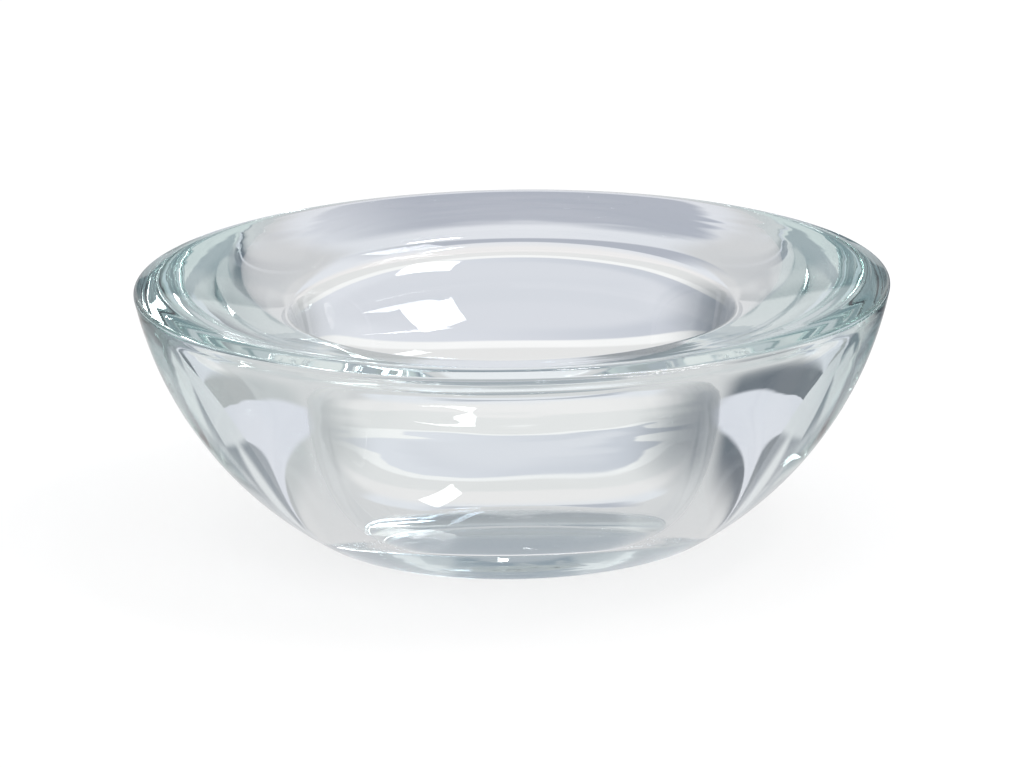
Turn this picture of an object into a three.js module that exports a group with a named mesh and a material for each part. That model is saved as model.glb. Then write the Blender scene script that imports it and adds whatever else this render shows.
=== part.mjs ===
// A pressed-glass tealight holder: one thick round body of clear glass with a deep well
// that a tealight drops into. Nothing on it moves and nothing is joined to it.
// Sizes are in millimetres and degrees, +Z is up. The origin is the middle of the
// ring that the glass stands on.

import * as THREE from 'three';

// Outside: a flank that swells from a small foot up to the wide rim.
// Heights and widths run to the corners as they would be before they are rounded.
const rimDiameter = 100; // across the widest line, just under the lip
const overallHeight = 34; // from the table to the crest of the rim
const lipDrop = 0.9; // from the crest down to the widest line
const lipWidth = 2.8; // from the widest line in to the crest
const lipRounding = 0.7; // how far the rounding at the widest line reaches along each side
const crestRounding = 1.1; // the same at the crest
const flankRadius = 49.5; // the flank follows one arc of this radius
const footDiameter = 53.4; // across the edge where the flank meets the table
const footRounding = 0.8; // how far the rounding of that edge reaches
const standingWidth = 2.6; // flat ring that carries the weight, inside the foot's rounding
const hollowDepth = 2; // the underside rises this much from the ring to the middle

// Inside: the top of the rim falls to the mouth, then the wall curves in to the floor.
const mouthDiameter = 59.8; // across the edge between the rim's top and the well
const mouthDrop = 3.5; // from the crest down to that edge
const mouthShoulder = 3; // how far the rounding of that edge reaches out along the rim's top
const mouthRounding = 1.2; // and how far it reaches down the wall
const tealightDiameter = 38; // metal cup of a standard tealight
const tealightClearance = 0.2; // flat floor left around it
const floorThickness = 8.5; // glass between the table and the floor of the well
const floorRounding = 0.5; // how far the rounding between wall and floor reaches
const wallLeanAtMouth = 23; // the wall starts this far from upright
const wallRiseAtFloor = 42; // and meets the floor at this angle
const wallUpperPull = 3.1; // how far the wall holds its first direction
const wallLowerPull = 9.2; // and how far up it carries the direction at the floor

// Fineness of the mesh.
const turnSteps = 80; // facets around the body
const stepTurn = THREE.MathUtils.degToRad(7.5); // a curve turns no more than this in one step
const samePlace = 1e-4; // points closer than this are one point

// The outline is half the section, with x as the distance from the axis and y as the height.
const point = (x, y) => new THREE.Vector2(x, y);

// A point on the way from one point to another, the given distance from the first.
function towards(from, to, distance) {
  const step = to.clone().sub(from).setLength(distance);
  return from.clone().add(step);
}

// A point the given distance from another, in a direction that is measured from +x.
function offset(from, degrees, distance) {
  const angle = THREE.MathUtils.degToRad(degrees);
  return from.clone().add(point(Math.cos(angle), Math.sin(angle)).multiplyScalar(distance));
}

// The middle of the arc that swells outward from the foot's edge to the widest line.
function flankCentre(foot, widest) {
  const chord = widest.clone().sub(foot);
  const halfChord = chord.length() / 2;
  const inward = point(-chord.y, chord.x).normalize();
  const reach = Math.sqrt(flankRadius ** 2 - halfChord ** 2);
  return foot.clone().lerp(widest, 0.5).addScaledVector(inward, reach);
}

// The underside: a shallow hollow inside the flat ring, and the rounded edge of the foot.
function drawUnderside(outline, foot, flankStart) {
  const ringOuter = foot.x - footRounding;
  const ringInner = ringOuter - standingWidth;
  outline.moveTo(0, hollowDepth);
  outline.quadraticCurveTo(ringInner / 2, hollowDepth, ringInner, 0);
  outline.lineTo(ringOuter, 0);
  outline.quadraticCurveTo(foot.x, foot.y, flankStart.x, flankStart.y);
}

// A corner is cut back along both of its sides and rounded between the two cuts.
function drawRoundedCorner(outline, corner, cutBefore, cutAfter, next) {
  const before = towards(corner, outline.currentPoint, cutBefore);
  const after = towards(corner, next, cutAfter);
  outline.lineTo(before.x, before.y);
  outline.quadraticCurveTo(corner.x, corner.y, after.x, after.y);
}

// The flank is one arc. It stops short of the widest line, where the lip is rounded.
function drawFlank(outline, centre, foot, widest) {
  const roundedAngle = (length) => length / flankRadius;
  const start = foot.clone().sub(centre).angle() + roundedAngle(footRounding);
  const end = widest.clone().sub(centre).angle() - roundedAngle(lipRounding);
  outline.absarc(centre.x, centre.y, flankRadius, start, end, false);
}

// The lip leans in from the widest line to the crest, and the top falls to the mouth,
// where a soft shoulder leads over into the wall of the well.
function drawRim(outline, widest, crest, mouth, wallStart) {
  const lipStart = towards(widest, crest, lipRounding);
  outline.quadraticCurveTo(widest.x, widest.y, lipStart.x, lipStart.y);
  drawRoundedCorner(outline, crest, crestRounding, crestRounding, mouth);
  drawRoundedCorner(outline, mouth, mouthShoulder, mouthRounding, wallStart);
}

// The wall of the well is one curve that follows the flank, down to a flat floor.
function drawWell(outline, wallStart, floorEdge) {
  const wallEnd = offset(floorEdge, wallRiseAtFloor, floorRounding);
  const upper = offset(wallStart, 270 - wallLeanAtMouth, wallUpperPull);
  const lower = offset(floorEdge, wallRiseAtFloor, wallLowerPull);
  outline.bezierCurveTo(upper.x, upper.y, lower.x, lower.y, wallEnd.x, wallEnd.y);
  outline.quadraticCurveTo(floorEdge.x, floorEdge.y, floorEdge.x - floorRounding, floorEdge.y);
  outline.lineTo(0, floorEdge.y);
}

function holderOutline() {
  const foot = point(footDiameter / 2, 0);
  const widest = point(rimDiameter / 2, overallHeight - lipDrop);
  const crest = point(widest.x - lipWidth, overallHeight);
  const mouth = point(mouthDiameter / 2, overallHeight - mouthDrop);
  const flatFloor = tealightDiameter / 2 + tealightClearance;
  const floorEdge = point(flatFloor + floorRounding, floorThickness);
  const wallStart = offset(mouth, 270 - wallLeanAtMouth, mouthRounding);
  const centre = flankCentre(foot, widest);
  const flankStart = foot.clone().rotateAround(centre, footRounding / flankRadius);

  const outline = new THREE.Path();
  drawUnderside(outline, foot, flankStart);
  drawFlank(outline, centre, foot, widest);
  drawRim(outline, widest, crest, mouth, wallStart);
  drawWell(outline, wallStart, floorEdge);
  return outline;
}

// Points along the outline: one step on a straight stretch, more where a curve turns.
function pointsAlong(outline) {
  const points = [outline.curves[0].getPoint(0)];
  for (const curve of outline.curves) {
    const turn = curve.getTangent(0).angleTo(curve.getTangent(1));
    const steps = Math.max(1, Math.ceil(turn / stepTurn));
    points.push(...curve.getPoints(steps).slice(1));
  }
  return points.filter((place, i) => i === 0 || place.distanceTo(points[i - 1]) > samePlace);
}

// Thick soda-lime glass: clear, polished, with a faint green cast in its depth.
const clearGlass = new THREE.MeshStandardMaterial({
  name: 'clear_glass',
  color: 0xdcece9,
  roughness: 0.03,
  metalness: 0,
  transparent: true,
  opacity: 0.35,
});

function glassHolder() {
  const outline = pointsAlong(holderOutline());
  const body = new THREE.Mesh(new THREE.LatheGeometry(outline, turnSteps), clearGlass);
  body.name = 'glass_holder';
  body.rotation.x = Math.PI / 2; // the lathe turns about +Y, and the holder stands along +Z
  return body;
}

const holder = new THREE.Group();
holder.name = 'tealight_holder';
holder.add(glassHolder());

export default holder;
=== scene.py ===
# %% [markdown]
# A tealight holder of thick pressed glass.
# The real holder is one gob of clear glass, pressed in a mould and polished by fire.
# It has no parts to join, so its looks come from three things: a true section, a surface
# that is smooth but never quite even, and a room for the glass to bend and mirror.

# %% Load the fixed frame
import math

import bpy
from mathutils import Matrix, Vector


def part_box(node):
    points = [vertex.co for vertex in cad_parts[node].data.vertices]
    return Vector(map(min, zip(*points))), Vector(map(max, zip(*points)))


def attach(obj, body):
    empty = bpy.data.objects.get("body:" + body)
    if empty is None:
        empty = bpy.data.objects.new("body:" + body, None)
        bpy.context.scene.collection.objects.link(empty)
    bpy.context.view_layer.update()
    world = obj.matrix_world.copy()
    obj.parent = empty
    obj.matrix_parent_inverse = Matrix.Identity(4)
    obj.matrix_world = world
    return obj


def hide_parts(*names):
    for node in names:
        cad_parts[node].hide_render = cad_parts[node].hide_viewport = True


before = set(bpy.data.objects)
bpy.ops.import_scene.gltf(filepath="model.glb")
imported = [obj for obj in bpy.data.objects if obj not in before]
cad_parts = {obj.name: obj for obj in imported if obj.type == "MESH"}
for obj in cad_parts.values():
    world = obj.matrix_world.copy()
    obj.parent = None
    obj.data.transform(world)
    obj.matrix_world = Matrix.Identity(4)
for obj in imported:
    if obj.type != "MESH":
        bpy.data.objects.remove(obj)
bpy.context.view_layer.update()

MM = 0.001
low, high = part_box("glass_holder")
print("holder, millimetres:", [round(side / MM, 2) for side in high - low])

# %% [markdown]
# Everything that an operator does happens to what is selected. The frame comes in with its
# node selected, so each step starts by clearing the selection.

# %% Selection helper
def deselect_all():
    if bpy.context.mode != "OBJECT":
        bpy.ops.object.mode_set(mode="OBJECT")
    bpy.ops.object.select_all(action="DESELECT")


# %% [markdown]
# The camera stands well back with a long lens and looks down a little, so the rim is a flat
# ellipse and the front of the bowl shows below it. It could be placed by hand in the
# viewport, but numbers give the same picture each time. The lens follows from how many pixels
# a metre at the holder's distance would take in the picture, and a small turn about the line
# of sight gives the slight tilt of the product picture.

# %% Camera at the picture's angle
PICTURE_WIDTH = 1024
PICTURE_HEIGHT = 768
SENSOR_WIDTH = 36
VIEW_DISTANCE = 900 * MM
VIEW_ELEVATION = math.radians(15.48)
VIEW_ROLL = math.radians(-0.84)
PIXELS_PER_METRE = 7544
TARGET_HEIGHT = 18 * MM
TARGET_PIXEL = (513.3, 391.1)


def add_camera():
    bpy.ops.object.camera_add()
    camera = bpy.context.object
    camera.name = "picture_camera"
    forward = Vector((0, math.cos(VIEW_ELEVATION), -math.sin(VIEW_ELEVATION)))
    right = Vector((1, 0, 0))
    up = right.cross(forward)
    pixels_per_slope = PIXELS_PER_METRE * VIEW_DISTANCE
    camera.data.sensor_width = SENSOR_WIDTH
    camera.data.lens = pixels_per_slope * SENSOR_WIDTH / PICTURE_WIDTH
    turned = Matrix((right, up, -forward)).transposed() @ Matrix.Rotation(VIEW_ROLL, 3, "Z")
    aside = (TARGET_PIXEL[0] - PICTURE_WIDTH / 2) / pixels_per_slope
    below = (TARGET_PIXEL[1] - PICTURE_HEIGHT / 2) / pixels_per_slope
    aimed = turned @ Matrix.Rotation(aside, 3, "Y") @ Matrix.Rotation(below, 3, "X")
    camera.location = Vector((0, 0, TARGET_HEIGHT)) - forward * VIEW_DISTANCE
    camera.rotation_euler = aimed.to_euler()
    bpy.context.scene.camera = camera
    return camera


camera = add_camera()
print("lens, millimetres:", round(camera.data.lens, 1))

# %% [markdown]
# The glass is a solid of revolution, so its whole shape is in one half section. The outside
# is a single arc from the foot to the rim. The lip, the crest and the mouth are corners that
# are rounded a little, and the wall of the well is one curve that follows the outside and
# turns in to a flat floor. These are the holder's own sizes, to the corners before rounding.

# %% Sizes of the section
RIM_RADIUS = 50 * MM
CREST_HEIGHT = 34 * MM
LIP_DROP = 0.9 * MM
LIP_WIDTH = 2.8 * MM
LIP_ROUNDING = 0.7 * MM
CREST_ROUNDING = 1.1 * MM
FLANK_RADIUS = 49.5 * MM
FOOT_RADIUS = 26.7 * MM
FOOT_ROUNDING = 0.8 * MM
STANDING_WIDTH = 2.6 * MM
HOLLOW_DEPTH = 2 * MM
MOUTH_RADIUS = 29.9 * MM
MOUTH_DROP = 3.5 * MM
MOUTH_SHOULDER = 3 * MM
MOUTH_ROUNDING = 1.2 * MM
FLOOR_RADIUS = 19.2 * MM
FLOOR_HEIGHT = 8.5 * MM
FLOOR_ROUNDING = 0.5 * MM
WALL_LEAN_AT_MOUTH = math.radians(23)
WALL_RISE_AT_FLOOR = math.radians(42)
WALL_UPPER_PULL = 3.1 * MM
WALL_LOWER_PULL = 9.2 * MM
print("rim across and height, millimetres:", 2 * RIM_RADIUS / MM, CREST_HEIGHT / MM)

# %% [markdown]
# Clear glass shows every facet as a bent line, so the section needs many short steps. Each
# stretch is sampled by how much it turns and by how long it is. The straight stretches get
# points too: without them the smoothing of a rounded corner would spread over the flat next
# to it and turn it into a weak lens.

# %% Curves of the section
STEP_TURN = math.radians(3)
STEP_LENGTH = 0.7 * MM
print("one step turns at most", round(math.degrees(STEP_TURN)), "degrees")


def step_count(turn, length):
    return max(1, math.ceil(turn / STEP_TURN), math.ceil(length / STEP_LENGTH))


def bezier(*controls):
    """Points along a line or a curve with two, three or four controls, without its first."""
    turn = (controls[1] - controls[0]).angle(controls[-1] - controls[-2])
    steps = step_count(turn, (controls[-1] - controls[0]).length)
    curve = []
    for step in range(1, steps + 1):
        row = list(controls)
        while len(row) > 1:
            row = [a.lerp(b, step / steps) for a, b in zip(row, row[1:])]
        curve.append(row[0])
    return curve


def towards(start, end, distance):
    return start + (end - start).normalized() * distance


def offset(start, angle, distance):
    return start + Vector((math.cos(angle), math.sin(angle))) * distance


def rounded_corner(before, corner, cut_before, cut_after, after):
    """A straight run up to the corner and a rounding that ends on the way to what follows."""
    start = towards(corner, before, cut_before)
    return bezier(before, start) + bezier(start, corner, towards(corner, after, cut_after))


# %% [markdown]
# The section starts on the axis, under the foot, and ends on the axis, on the floor of the
# well. It could be traced by eye over a picture, but here each corner comes from the sizes
# above, and so the real measures stay in the model.

# %% Half section of the glass
def flank_arc(foot, widest):
    """The arc that swells from the foot to the widest line, short of both roundings."""
    chord = widest - foot
    reach = math.sqrt(FLANK_RADIUS**2 - (chord.length / 2) ** 2)
    inward = Vector((-chord.y, chord.x)).normalized()
    centre = foot.lerp(widest, 0.5) + inward * reach
    first = math.atan2(*(foot - centre).yx) + FOOT_ROUNDING / FLANK_RADIUS
    last = math.atan2(*(widest - centre).yx) - LIP_ROUNDING / FLANK_RADIUS
    steps = step_count(last - first, chord.length)
    angles = [first + (last - first) * step / steps for step in range(steps + 1)]
    return [offset(centre, angle, FLANK_RADIUS) for angle in angles]


def half_section():
    """All the points, from the axis under the foot round to the axis in the well."""
    foot = Vector((FOOT_RADIUS, 0))
    widest = Vector((RIM_RADIUS, CREST_HEIGHT - LIP_DROP))
    crest = Vector((RIM_RADIUS - LIP_WIDTH, CREST_HEIGHT))
    mouth = Vector((MOUTH_RADIUS, CREST_HEIGHT - MOUTH_DROP))
    floor_edge = Vector((FLOOR_RADIUS + FLOOR_ROUNDING, FLOOR_HEIGHT))
    down_the_wall = math.radians(270) - WALL_LEAN_AT_MOUTH
    wall_start = offset(mouth, down_the_wall, MOUTH_ROUNDING)
    wall_end = offset(floor_edge, WALL_RISE_AT_FLOOR, FLOOR_ROUNDING)
    ring_outer = foot - Vector((FOOT_ROUNDING, 0))
    ring_inner = ring_outer - Vector((STANDING_WIDTH, 0))
    flank = flank_arc(foot, widest)

    points = [Vector((0, HOLLOW_DEPTH))]
    points += bezier(points[0], Vector((ring_inner.x / 2, HOLLOW_DEPTH)), ring_inner)
    points += bezier(ring_inner, ring_outer) + bezier(ring_outer, foot, flank[0]) + flank[1:]
    points += bezier(flank[-1], widest, towards(widest, crest, LIP_ROUNDING))
    points += rounded_corner(points[-1], crest, CREST_ROUNDING, CREST_ROUNDING, mouth)
    points += rounded_corner(points[-1], mouth, MOUTH_SHOULDER, MOUTH_ROUNDING, wall_start)
    upper = offset(wall_start, down_the_wall, WALL_UPPER_PULL)
    lower = offset(floor_edge, WALL_RISE_AT_FLOOR, WALL_LOWER_PULL)
    points += bezier(wall_start, upper, lower, wall_end)
    flat_start = floor_edge - Vector((FLOOR_ROUNDING, 0))
    points += bezier(wall_end, floor_edge, flat_start)
    return points + bezier(flat_start, Vector((0, FLOOR_HEIGHT)))


section = half_section()
print("points in the half section:", len(section))

# %% [markdown]
# A lathe-turned shape could be a Screw modifier on a drawn line, or rings bridged one by one.
# Here the line is drawn by extruding a single vertex from point to point, as one would with
# the mouse, and the Spin tool sweeps it once round the axis. Spin leaves a double seam and a
# stack of points on the axis, so doubles are merged and the faces turned outward.

# %% Spin the glass
SPIN_STEPS = 320
SAME_PLACE = 1e-7


def draw_section(points):
    deselect_all()
    bpy.ops.mesh.primitive_plane_add(size=MM)
    piece = bpy.context.object
    bpy.ops.object.mode_set(mode="EDIT")
    bpy.ops.mesh.merge(type="CENTER")
    pen = Vector((points[0].x, 0, points[0].y))
    bpy.ops.transform.translate(value=pen)
    for point in points[1:]:
        place = Vector((point.x, 0, point.y))
        bpy.ops.mesh.extrude_vertices_move(TRANSFORM_OT_translate={"value": place - pen})
        pen = place
    return piece


def spin_glass():
    piece = draw_section(section)
    piece.name = "pressed_glass"
    bpy.ops.mesh.select_all(action="SELECT")
    bpy.ops.mesh.spin(steps=SPIN_STEPS, angle=math.tau, center=(0, 0, 0), axis=(0, 0, 1))
    bpy.ops.mesh.select_all(action="SELECT")
    bpy.ops.mesh.remove_doubles(threshold=SAME_PLACE)
    bpy.ops.mesh.normals_make_consistent(inside=False)
    bpy.ops.object.mode_set(mode="OBJECT")
    bpy.ops.object.shade_smooth()
    return piece


glass = spin_glass()
print("faces of the glass:", len(glass.data.polygons))

# %% [markdown]
# The glass, the table and the room all get their tones from small trees of nodes. Short
# helpers build them: a value that is a number sets its socket, and a socket is linked. Each
# mask runs softly from 0 to 1 between two edges, in either direction.

# %% Node helpers
def set_or_link(links, socket, value):
    if isinstance(value, bpy.types.NodeSocket):
        links.new(value, socket)
    else:
        socket.default_value = value


def math_node(tree, operation, *values):
    node = tree.nodes.new("ShaderNodeMath")
    node.operation = operation
    for socket, value in zip(node.inputs, values):
        set_or_link(tree.links, socket, value)
    return node.outputs[0]


def mix_colour(tree, factor, first, second):
    node = tree.nodes.new("ShaderNodeMix")
    node.data_type = "RGBA"
    set_or_link(tree.links, node.inputs["Factor"], factor)
    set_or_link(tree.links, node.inputs["A"], first)
    set_or_link(tree.links, node.inputs["B"], second)
    return node.outputs["Result"]


def smooth_step(tree, value, start, end):
    node = tree.nodes.new("ShaderNodeMapRange")
    node.interpolation_type = "SMOOTHSTEP"
    for socket, entry in zip(node.inputs, (value, start, end, 0, 1)):
        set_or_link(tree.links, socket, entry)
    return node.outputs["Result"]


def add(tree, *values):
    total = values[0]
    for value in values[1:]:
        total = math_node(tree, "ADD", total, value)
    return total


def times(tree, *values):
    product = values[0]
    for value in values[1:]:
        product = math_node(tree, "MULTIPLY", product, value)
    return product


def object_place(tree):
    """The place on the object as a vector and as its three numbers."""
    place = tree.nodes.new("ShaderNodeTexCoord").outputs["Object"]
    axes = tree.nodes.new("ShaderNodeSeparateXYZ")
    tree.links.new(place, axes.inputs[0])
    return place, axes.outputs["X"], axes.outputs["Y"], axes.outputs["Z"]


def axis_distance(tree, across, back):
    """How far a place is from the holder's axis, seen from above."""
    squares = add(tree, times(tree, across, across), times(tree, back, back))
    return math_node(tree, "SQRT", squares)


# %% [markdown]
# Pressed glass is smooth but never quite even. The mould leaves slow waves all over, and at
# the rim and the foot, where the glass flowed last, fine streaks follow the circle. They are
# far too shallow to change the outline, but they bend all that shows through them. Relief in
# the mesh would take a great many faces, so both are bump from noise: the waves on the plain
# place, and the streaks on the turn about the axis and the way along the section, so that
# they run round the holder. Heights are in millimetres.

# %% Waves and streaks of the pressed surface
WAVE_SIZE = 13 * MM
WAVE_HEIGHT = 0.012
STREAK_SIZE = 3.4 * MM
STREAK_HEIGHT = 0.06
STREAK_TURNS = 2.4
RIM_STREAKS_OUT = (33 * MM, 42 * MM)
RIM_STREAKS_UP = (22 * MM, 30 * MM)
FOOT_STREAKS_DOWN = (3.5 * MM, 1.5 * MM)
FOOT_STREAK_SHARE = 0.5


def noise(tree, vector, scale, detail=0):
    texture = tree.nodes.new("ShaderNodeTexNoise")
    tree.links.new(vector, texture.inputs["Vector"])
    texture.inputs["Scale"].default_value = scale
    texture.inputs["Detail"].default_value = detail
    return texture.outputs["Fac"]


def streak_noise(tree, across, back, up, from_axis):
    """Noise that is long round the axis and short along the section."""
    way = tree.nodes.new("ShaderNodeCombineXYZ")
    for socket, part in zip(way.inputs, (across, back)):
        turn = math_node(tree, "DIVIDE", part, from_axis)
        tree.links.new(times(tree, turn, STREAK_TURNS), socket)
    tree.links.new(times(tree, add(tree, from_axis, up), 1 / STREAK_SIZE), way.inputs[2])
    return noise(tree, way.outputs[0], scale=1, detail=1)


def pressed_surface(tree):
    """A bumped normal from slow waves everywhere and streaks at the rim and the foot."""
    place, across, back, up = object_place(tree)
    from_axis = axis_distance(tree, across, back)
    at_rim = times(
        tree,
        smooth_step(tree, from_axis, *RIM_STREAKS_OUT),
        smooth_step(tree, up, *RIM_STREAKS_UP),
    )
    at_foot = times(tree, smooth_step(tree, up, *FOOT_STREAKS_DOWN), FOOT_STREAK_SHARE)
    streaks = streak_noise(tree, across, back, up, from_axis)
    height = add(
        tree,
        times(tree, noise(tree, place, 1 / WAVE_SIZE), WAVE_HEIGHT),
        times(tree, streaks, STREAK_HEIGHT, math_node(tree, "MAXIMUM", at_rim, at_foot)),
    )
    bump = tree.nodes.new("ShaderNodeBump")
    bump.inputs["Distance"].default_value = MM
    tree.links.new(height, bump.inputs["Height"])
    return bump.outputs["Normal"]


# %% [markdown]
# A holder that has been used is dull in two places. The standing ring is ground a little by
# every table it slides on, and the floor of the well has faint scuffs from metal cups. The
# rest is polished, apart from a breath of haze where it has been handled. The dull places
# could be painted by hand on an unwrapped map, but noise that is kept to the right heights
# needs no map.

# %% Wear and handling
RING_WEAR = 0.4
RING_BAND = (0.25 * MM, 0.05 * MM)
GRAIN_SIZE = 0.6 * MM
GRAIN_RANGE = (0.35, 0.7)
FLOOR_SCUFF = 0.14
FLOOR_BAND = (0.2 * MM, 0.05 * MM)
SCUFF_SIZE = 2.5 * MM
SCUFF_RANGE = (0.52, 0.72)
SCUFF_FADE = 2 * MM
HANDLING_HAZE = 0.03
HAZE_SIZE = 18 * MM
HAZE_RANGE = (0.5, 0.75)


def wear(tree):
    """Roughness: worn ring, scuffed floor of the well, and slight haze from hands."""
    place, across, back, up = object_place(tree)
    from_axis = axis_distance(tree, across, back)
    grains = smooth_step(tree, noise(tree, place, 1 / GRAIN_SIZE, detail=2), *GRAIN_RANGE)
    scuffs = smooth_step(tree, noise(tree, place, 1 / SCUFF_SIZE, detail=3), *SCUFF_RANGE)
    hands = smooth_step(tree, noise(tree, place, 1 / HAZE_SIZE, detail=1), *HAZE_RANGE)
    ring = smooth_step(tree, up, *RING_BAND)
    from_floor = math_node(tree, "ABSOLUTE", add(tree, up, -FLOOR_HEIGHT))
    well_floor = times(
        tree,
        smooth_step(tree, from_floor, *FLOOR_BAND),
        smooth_step(tree, from_axis, FLOOR_RADIUS, FLOOR_RADIUS - SCUFF_FADE),
    )
    return add(
        tree,
        times(tree, ring, grains, RING_WEAR),
        times(tree, well_floor, scuffs, FLOOR_SCUFF),
        times(tree, hands, HANDLING_HAZE),
    )


# %% [markdown]
# Clear glass is almost only refraction. The index of soda-lime glass is 1.52, and the little
# iron in it soaks up red light, so a long way through the rim looks faintly green. That colour
# belongs in the volume, as absorption, because a coloured surface would tint thin and thick
# places alike.

# %% Glass material
GLASS_INDEX = 1.52
GLASS_TINT = (0.76, 0.9, 0.88, 1)
GLASS_DENSITY = 8
WHITE = (1, 1, 1, 1)


def new_material(name):
    material = bpy.data.materials.new(name)
    material.use_nodes = True
    return material, material.node_tree


def clear_glass():
    material, tree = new_material("clear_glass")
    shader = tree.nodes["Principled BSDF"]
    shader.inputs["Base Color"].default_value = WHITE
    shader.inputs["IOR"].default_value = GLASS_INDEX
    shader.inputs["Transmission Weight"].default_value = 1
    tree.links.new(wear(tree), shader.inputs["Roughness"])
    tree.links.new(pressed_surface(tree), shader.inputs["Normal"])
    depth = tree.nodes.new("ShaderNodeVolumeAbsorption")
    depth.inputs["Color"].default_value = GLASS_TINT
    depth.inputs["Density"].default_value = GLASS_DENSITY
    tree.links.new(depth.outputs["Volume"], tree.nodes["Material Output"].inputs["Volume"])
    return material


glass.data.materials.append(clear_glass())
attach(glass, "root")
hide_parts("glass_holder")
print("nodes of the glass:", len(glass.data.materials[0].node_tree.nodes))

# %% [markdown]
# What clear glass shows is its surroundings, bent and mirrored, so a table and a room belong
# to its look. A picture of a real room could be wrapped round the scene, but tones that are
# laid out by place can be read, moved and changed one by one. Each is laid over those before
# it, through a mask. The two numbers of an edge say where its tone starts and where it is full.
# The light and shade on the paper are painted into these tones. The paper close to the holder
# is painted grey, as shade, with a paler band of painted light behind it, and past that lies a
# painted pool of light that dims further back. The lit paper has rounded far corners and ends
# in a curl painted bright as a highlight, and past it lies a cool lavender grey, painted darker
# to the right as shade. Close to the holder lie a painted shade under it, a painted shade
# behind it and a painted bright strip of light in front.

# %% Tones of the paper
SHADED_PAPER_NEAR = (0.72, 0.71, 0.72, 1)
PAPER_CLOSE = (0.84, 0.85, 0.90, 1)
CLOSE_BACK = (50 * MM, 56 * MM)
CLOSE_ASIDE = (50 * MM, 40 * MM)
PAPER_LIT = (0.92, 0.89, 0.89, 1)
LIT_BACK = (62 * MM, 86 * MM)
PAPER_FAR = (0.83, 0.82, 0.82, 1)
FAR_REACH = (112 * MM, 122 * MM)
PAPER_DEPTH = 156 * MM
PAPER_BEND = 3.5
CORNER_REACH = 76 * MM
CORNER_DEPTH = 34 * MM
CORNER_POWER = 3
# The curl is painted brighter than the lit paper, as a highlight.
CURL_HIGHLIGHT = (1, 0.99, 0.99, 1)
CURL_REACH = (PAPER_DEPTH - 10 * MM, PAPER_DEPTH - 7 * MM)
LAVENDER_LEFT = (0.80, 0.81, 0.87, 1)
LAVENDER_RIGHT = (0.61, 0.63, 0.70, 1)
LAVENDER_ASIDE = (-60 * MM, 60 * MM)
LAVENDER_REACH = (PAPER_DEPTH - 1.5 * MM, PAPER_DEPTH + 0.5 * MM)
COOL_LAVENDER = (0.74, 0.75, 0.81, 1)
COOL_REACH = (PAPER_DEPTH + 6 * MM, PAPER_DEPTH + 14 * MM)
UNDER_SHADE = (0.38, 0.42, 0.46, 1)
UNDER_MIDDLE = 6 * MM
UNDER_EDGE = (21 * MM, 18 * MM)
FRONT_GLINT = (0.93, 0.93, 0.96, 1)
GLINT_BACK = (-14.5 * MM, -16.5 * MM)
GLINT_OUT = (30 * MM, 26 * MM)
BACK_SHADE = (0.47, 0.49, 0.56, 1)
SHADE_BEND = 22.2
SHADE_BACK = (63.7 * MM, 65.1 * MM)
SHADE_OUT = (69.5 * MM, 68 * MM)
SHADE_LEFT = (-26 * MM, -8 * MM)
SHADE_RIGHT = (34 * MM, 22 * MM)


def layer_tones(tree, base, layers):
    """Lay one tone over another, each through its own mask."""
    for mask, tone in layers:
        base = mix_colour(tree, mask, base, tone)
    return base


def paper_reach(tree, back, squared):
    """How far back a place is, measured so that the paper's far edge has rounded corners."""
    corner = math_node(tree, "POWER", times(tree, squared, 1 / CORNER_REACH**2), CORNER_POWER)
    return add(tree, back, times(tree, squared, PAPER_BEND), times(tree, corner, CORNER_DEPTH))


def close_shades(tree, across, back, squared):
    """Masks of painted shade under and behind the holder, and a painted bright strip in front.
    """
    from_axis = axis_distance(tree, across, back)
    from_middle = axis_distance(tree, across, add(tree, back, -UNDER_MIDDLE))
    bent_back = add(tree, back, times(tree, squared, SHADE_BEND))
    under = smooth_step(tree, from_middle, *UNDER_EDGE)
    glint = times(
        tree,
        smooth_step(tree, back, *GLINT_BACK),
        smooth_step(tree, from_axis, *GLINT_OUT),
    )
    shade = times(
        tree,
        smooth_step(tree, bent_back, *SHADE_BACK),
        smooth_step(tree, from_axis, *SHADE_OUT),
        smooth_step(tree, across, *SHADE_LEFT),
        smooth_step(tree, across, *SHADE_RIGHT),
    )
    return under, glint, shade


def paper_tones(tree, across, back):
    """Painted light to the paper's far edge and past it, and painted shade by the holder."""
    squared = times(tree, across, across)
    reach = paper_reach(tree, back, squared)
    under, glint, shade = close_shades(tree, across, back, squared)
    close = times(
        tree,
        smooth_step(tree, back, *CLOSE_BACK),
        smooth_step(tree, squared, *(edge**2 for edge in CLOSE_ASIDE)),
    )
    to_right = smooth_step(tree, across, *LAVENDER_ASIDE)
    lavender = mix_colour(tree, to_right, LAVENDER_LEFT, LAVENDER_RIGHT)
    return layer_tones(tree, SHADED_PAPER_NEAR, (
        (close, PAPER_CLOSE),
        (smooth_step(tree, back, *LIT_BACK), PAPER_LIT),
        (smooth_step(tree, reach, *FAR_REACH), PAPER_FAR),
        (smooth_step(tree, reach, *CURL_REACH), CURL_HIGHLIGHT),
        (smooth_step(tree, reach, *LAVENDER_REACH), lavender),
        (smooth_step(tree, reach, *COOL_REACH), COOL_LAVENDER),
        (under, UNDER_SHADE),
        (glint, FRONT_GLINT),
        (shade, BACK_SHADE),
    ))


print("the lit paper ends", round(PAPER_DEPTH / MM), "mm behind the holder's axis")
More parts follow.
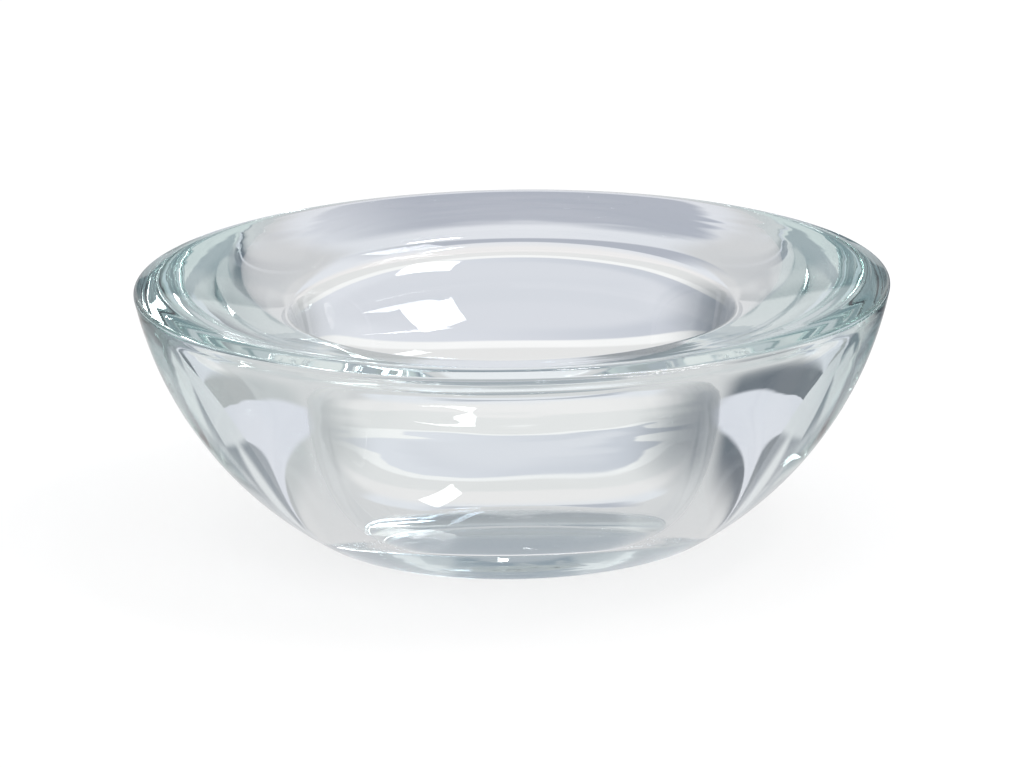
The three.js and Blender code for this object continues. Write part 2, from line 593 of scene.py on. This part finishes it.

# %% [markdown]
# The edges of clear glass are drawn by painted shade on the table beside the lit paper: grey
# on the left, paler close to the holder, and dark on the right. Dimmer lights could shade the
# sides as well, but shade painted on the table keeps its place and draws a clear dark line.
# Outside the painted shade the table is pale, and past a second edge it is dark. Both edges
# lean outwards: each is given by its start, its lean, its softness and the nearest place
# where it holds. In front of the holder the paper is painted grey, as shade, and then white.

# %% Tones beside and in front of the paper
LEFT_SIDE_SHADE = (0.46, 0.47, 0.48, 1)
LEFT_SIDE_SHADE_NEAR = (0.58, 0.59, 0.60, 1)
NEAR_BACK = (62 * MM, 54 * MM)
RIGHT_SIDE_SHADE = (0.13, 0.15, 0.18, 1)
SIDE_SHADE_LEFT = (-58 * MM, -86 * MM)
SIDE_SHADE_RIGHT = (42 * MM, 86 * MM)
SIDE_SHADE_BACK = (-12 * MM, 10 * MM)
PAST_SIDE_SHADES = (0.77, 0.77, 0.84, 1)
PALE_EDGE = (86 * MM, 0.25, 1.5 * MM, -15 * MM)
LEFT_DARK = (0.33, 0.35, 0.39, 1)
RIGHT_DARK = (0.19, 0.21, 0.24, 1)
DARK_EDGE = (87 * MM, 0.47, 3 * MM, 58 * MM)
FRONT_GREY = (0.50, 0.52, 0.55, 1)
GREY_BACK = (-24 * MM, -32 * MM)
FRONT_WHITE = (0.85, 0.85, 0.85, 1)
WHITE_BACK = (-52 * MM, -58 * MM)


def past_edge(tree, aside, back, start, lean, softness, nearest):
    """1 outside an edge that leans outwards, and only behind the nearest place."""
    past = add(tree, aside, times(tree, back, -lean), -start)
    behind = math_node(tree, "GREATER_THAN", back, nearest)
    return times(tree, smooth_step(tree, past, -softness, softness), behind)


def side_tones(tree, base, across, back):
    """Painted side shade, the table past its outer edges and the dark beyond, on each side."""
    aside = math_node(tree, "ABSOLUTE", across)
    on_right = math_node(tree, "GREATER_THAN", across, 0)
    outwards = add(
        tree,
        smooth_step(tree, across, *SIDE_SHADE_LEFT),
        smooth_step(tree, across, *SIDE_SHADE_RIGHT),
    )
    side_shades = times(tree, outwards, smooth_step(tree, back, *SIDE_SHADE_BACK))
    near = smooth_step(tree, back, *NEAR_BACK)
    left_side_shade = mix_colour(tree, near, LEFT_SIDE_SHADE, LEFT_SIDE_SHADE_NEAR)
    past = past_edge(tree, aside, back, *PALE_EDGE)
    dark = past_edge(tree, aside, back, *DARK_EDGE)
    return layer_tones(tree, base, (
        (side_shades, mix_colour(tree, on_right, left_side_shade, RIGHT_SIDE_SHADE)),
        (past, PAST_SIDE_SHADES),
        (dark, mix_colour(tree, on_right, LEFT_DARK, RIGHT_DARK)),
        (smooth_step(tree, back, *GREY_BACK), FRONT_GREY),
        (smooth_step(tree, back, *WHITE_BACK), FRONT_WHITE),
    ))


# The grey on the left and the dark on the right are shade painted on the table.
print("the flags are full", round(SIDE_SHADE_RIGHT[1] / MM), "mm to each side")

# %% [markdown]
# The floor is white paper with a soft, faint shadow. Lamps alone would light it unevenly, so
# the paper glows evenly instead, and a quarter of its real shading is left in for the shadow.
# Light Path tells which way a ray came: glossy and transmission rays, which left the glass,
# see the tones with their painted light and shade, and all others see the white paper.

# %% Floor
FLOOR_SIZE = 6
FLOOR_DROP = 0.1 * MM
SHADOW_SHARE = 0.25
PAPER_WHITE = (0.9, 0.9, 0.9, 1)


def glass_ray(tree):
    """1 for a ray that was mirrored by the glass or went through it."""
    path = tree.nodes.new("ShaderNodeLightPath").outputs
    return math_node(tree, "MAXIMUM", path["Is Glossy Ray"], path["Is Transmission Ray"])


def floor_material():
    material, tree = new_material("pale_floor")
    paper = tree.nodes["Principled BSDF"]
    paper.inputs["Base Color"].default_value = PAPER_WHITE
    paper.inputs["Roughness"].default_value = 1
    paper.inputs["Specular IOR Level"].default_value = 0
    _, across, back, _ = object_place(tree)
    tones = side_tones(tree, paper_tones(tree, across, back), across, back)
    seen = tree.nodes.new("ShaderNodeEmission")
    tree.links.new(mix_colour(tree, glass_ray(tree), WHITE, tones), seen.inputs["Color"])
    blend = tree.nodes.new("ShaderNodeMixShader")
    camera_ray = tree.nodes.new("ShaderNodeLightPath").outputs["Is Camera Ray"]
    tree.links.new(times(tree, camera_ray, SHADOW_SHARE), blend.inputs["Fac"])
    tree.links.new(seen.outputs[0], blend.inputs[1])
    tree.links.new(paper.outputs[0], blend.inputs[2])
    tree.links.new(blend.outputs[0], tree.nodes["Material Output"].inputs["Surface"])
    return material


deselect_all()
bpy.ops.mesh.primitive_plane_add(size=FLOOR_SIZE, location=(0, 0, -FLOOR_DROP))
floor = bpy.context.object
floor.name = "floor"
floor.data.materials.append(floor_material())
print("nodes of the floor:", len(floor.data.materials[0].node_tree.nodes))

# %% [markdown]
# A ray can be mirrored inside thick glass many times before it finds a way out. With the usual
# limits the deepest bends would stay dark, so more bounces are allowed. The tones are chosen
# for the plain Standard view, in which white paper comes out as white.

# %% Bounces and view
scene = bpy.context.scene
scene.view_settings.view_transform = "Standard"
scene.cycles.max_bounces = 24
scene.cycles.glossy_bounces = 16
scene.cycles.transmission_bounces = 24
print("bounces through the glass:", scene.cycles.transmission_bounces)

# %% [markdown]
# Above the table stands a pale backdrop, narrow like a roll of paper: its sides lean in as
# they rise, and beside it the room is dark, with a low window on each side. Further round, the
# left of the room is pale, and the right is dark and then grey. Higher up the room is grey,
# bluish straight behind, and at the sides teal and then pale. The rim and the foot show all
# this by total reflection, many times over. A room of real walls would do as well, but a
# background whose tone depends on the direction needs no geometry. Directions are in degrees:
# azimuth 0 is behind the holder and 90 is on its right. An edge is written as on the table,
# and a pair of low and high edges has a third number for its softness.

# %% Room
BACKDROP = (0.74, 0.75, 0.78, 1)
BACKDROP_EDGE = (23.7, 26.7)
BACKDROP_LEAN = 2
LEFT_ROOM = (0.22, 0.25, 0.29, 1)
RIGHT_ROOM = (0.30, 0.32, 0.36, 1)
LEFT_WINDOW = (0.90, 0.90, 0.90, 1)
LEFT_WINDOW_SIDES = (-46, -22, 3)
LEFT_WINDOW_SILL = (8, 11)
FAR_LEFT = (0.80, 0.80, 0.81, 1)
FAR_LEFT_EDGE = (-44, -52)
DARK_DOOR = (0.16, 0.20, 0.22, 1)
DARK_DOOR_EDGE = (42, 46)
FAR_RIGHT = (0.42, 0.44, 0.46, 1)
FAR_RIGHT_EDGE = (66, 76)
UPPER_GREY = (0.50, 0.52, 0.56, 1)
UPPER_GREY_RISE = (12, 16)
BACK_BLUE = (0.25, 0.30, 0.36, 1)
BACK_BLUE_RISE = (17, 20)
BACK_BLUE_SIDES = (-14, 14, 2)
LOW_WINDOWS = (0.82, 0.83, 0.85, 1)
LOW_WINDOWS_RISE = (4, 18, 2)
LOW_WINDOWS_SIDES = (14, 38, 3)
SIDE_TEAL = (0.20, 0.28, 0.30, 1)
SIDE_TEAL_RISE = (7, 12)
SIDE_TEAL_EDGE = (66, 80)
SIDE_PALE = (0.62, 0.63, 0.66, 1)
SIDE_PALE_RISE = (22, 28)
SIDE_PALE_EDGE = (50, 70)
HIGH_GREY = (0.47, 0.48, 0.53, 1)
HIGH_GREY_RISE = (35, 38)
HIGH_GREY_EDGE = (60, 40)
TOP_GREY = (0.45, 0.46, 0.48, 1)
TOP_GREY_RISE = (62, 66)


def band(tree, value, low_edge, high_edge, softness):
    """1 between two edges, with a soft step at each."""
    rise = smooth_step(tree, value, low_edge - softness, low_edge + softness)
    fall = smooth_step(tree, value, high_edge + softness, high_edge - softness)
    return times(tree, rise, fall)


def degrees(tree, angle):
    """An angle in radians turned into degrees."""
    return times(tree, angle, 180 / math.pi)


def room_tones(tree):
    place = tree.nodes.new("ShaderNodeTexCoord")
    axes = tree.nodes.new("ShaderNodeSeparateXYZ")
    tree.links.new(place.outputs["Generated"], axes.inputs[0])
    across, back, up = (axes.outputs[name] for name in "XYZ")
    height = degrees(tree, math_node(tree, "ARCSINE", up))
    around = degrees(tree, math_node(tree, "ARCTAN2", across, back))
    aside = math_node(tree, "ABSOLUTE", around)
    on_right = math_node(tree, "GREATER_THAN", around, 0)
    leaning = add(tree, aside, times(tree, height, BACKDROP_LEAN))
    beside = smooth_step(tree, leaning, *BACKDROP_EDGE)

    def above(edge):
        return smooth_step(tree, height, *edge)

    left_window = times(tree, band(tree, around, *LEFT_WINDOW_SIDES), above(LEFT_WINDOW_SILL))
    back_blue = times(tree, above(BACK_BLUE_RISE), band(tree, around, *BACK_BLUE_SIDES))
    low_windows = times(
        tree,
        band(tree, height, *LOW_WINDOWS_RISE),
        band(tree, aside, *LOW_WINDOWS_SIDES),
    )
    side_teal = times(tree, above(SIDE_TEAL_RISE), smooth_step(tree, aside, *SIDE_TEAL_EDGE))
    side_pale = times(tree, above(SIDE_PALE_RISE), smooth_step(tree, aside, *SIDE_PALE_EDGE))
    high_grey = times(tree, above(HIGH_GREY_RISE), smooth_step(tree, aside, *HIGH_GREY_EDGE))
    return layer_tones(tree, BACKDROP, (
        (beside, mix_colour(tree, on_right, LEFT_ROOM, RIGHT_ROOM)),
        (left_window, LEFT_WINDOW),
        (smooth_step(tree, around, *FAR_LEFT_EDGE), FAR_LEFT),
        (smooth_step(tree, around, *DARK_DOOR_EDGE), DARK_DOOR),
        (smooth_step(tree, around, *FAR_RIGHT_EDGE), FAR_RIGHT),
        (above(UPPER_GREY_RISE), UPPER_GREY),
        (back_blue, BACK_BLUE),
        (low_windows, LOW_WINDOWS),
        (side_teal, SIDE_TEAL),
        (side_pale, SIDE_PALE),
        (high_grey, HIGH_GREY),
        (above(TOP_GREY_RISE), TOP_GREY),
    ))


def add_room():
    world = bpy.data.worlds.new("room")
    scene.world = world
    world.use_nodes = True
    tree = world.node_tree
    colour = mix_colour(tree, glass_ray(tree), WHITE, room_tones(tree))
    tree.links.new(colour, tree.nodes["Background"].inputs["Color"])
    print("nodes of the room:", len(tree.nodes))


add_room()

# %% [markdown]
# The lights that show in the glass are flat panels with four corners, like softboxes seen at
# a slant, which gives the leaning windows in the well and in the bowl. Area lamps could stand
# in for them, but they are square to their own axis, and here each corner has its own
# direction, as azimuth and elevation in degrees. After the corners stand the strength and the
# colour. The camera doesn't see the panels themselves. One broad lamp above lights the paper
# alone.

# %% Light panels
HOLDER_MIDDLE = Vector((0, 0, TARGET_HEIGHT))
PANEL_DISTANCE = 1.2
COOL_LIGHT = (0.72, 0.86, 1, 1)
LIGHT_PANELS = {
    "well_window": (((114, 13), (146, 16), (153, 21), (126, 20.3)), 14, WHITE),
    "bowl_window": (((103, 31.5), (146, 42.7), (150, 45.5), (108, 34.2)), 11, WHITE),
    "high_window": (((70, 51), (110, 59), (108, 66), (66, 60)), 10, WHITE),
    "streak_light": (((20, 66.2), (64, 66.2), (64, 70.2), (20, 70.2)), 14, COOL_LIGHT),
    "rim_light": (((2, 37.4), (4.4, 37.4), (4.4, 38.6), (2, 38.6)), 30, WHITE),
}
PAPER_LIGHT_HEIGHT = 1.3
PAPER_LIGHT_SIZE = 1
PAPER_LIGHT_WATTS = 1.6


def direction(azimuth, elevation):
    turn, rise = math.radians(azimuth), math.radians(elevation)
    level = math.cos(rise)
    return Vector((math.sin(turn) * level, math.cos(turn) * level, math.sin(rise)))


def panel_material(name, colour, radiance):
    material, tree = new_material(name)
    light = tree.nodes.new("ShaderNodeEmission")
    light.inputs["Color"].default_value = colour
    light.inputs["Strength"].default_value = radiance
    tree.links.new(light.outputs[0], tree.nodes["Material Output"].inputs["Surface"])
    return material


def light_panel(name, corners, radiance, colour):
    """A glowing card whose corners lie in these directions, in order round its edge."""
    ways = [direction(*corner) for corner in corners]
    middle = sum(ways, Vector()).normalized()
    deselect_all()
    bpy.ops.mesh.primitive_plane_add(size=1)
    panel = bpy.context.object
    panel.name = name
    for index, way in zip(panel.data.polygons[0].vertices, ways):
        panel.data.vertices[index].co = HOLDER_MIDDLE + way * (PANEL_DISTANCE / way.dot(middle))
    panel.data.materials.append(panel_material(name, colour, radiance))
    panel.visible_camera = False


def add_paper_light():
    bpy.ops.object.light_add(type="AREA", location=(0, 0, PAPER_LIGHT_HEIGHT))
    lamp = bpy.context.object
    lamp.name = "paper_light"
    lamp.data.size = PAPER_LIGHT_SIZE
    lamp.data.energy = PAPER_LIGHT_WATTS
    lamp.visible_glossy = False
    lamp.visible_transmission = False


deselect_all()
add_paper_light()
for name, (corners, radiance, colour) in LIGHT_PANELS.items():
    light_panel(name, corners, radiance, colour)
print("light panels:", len(LIGHT_PANELS))
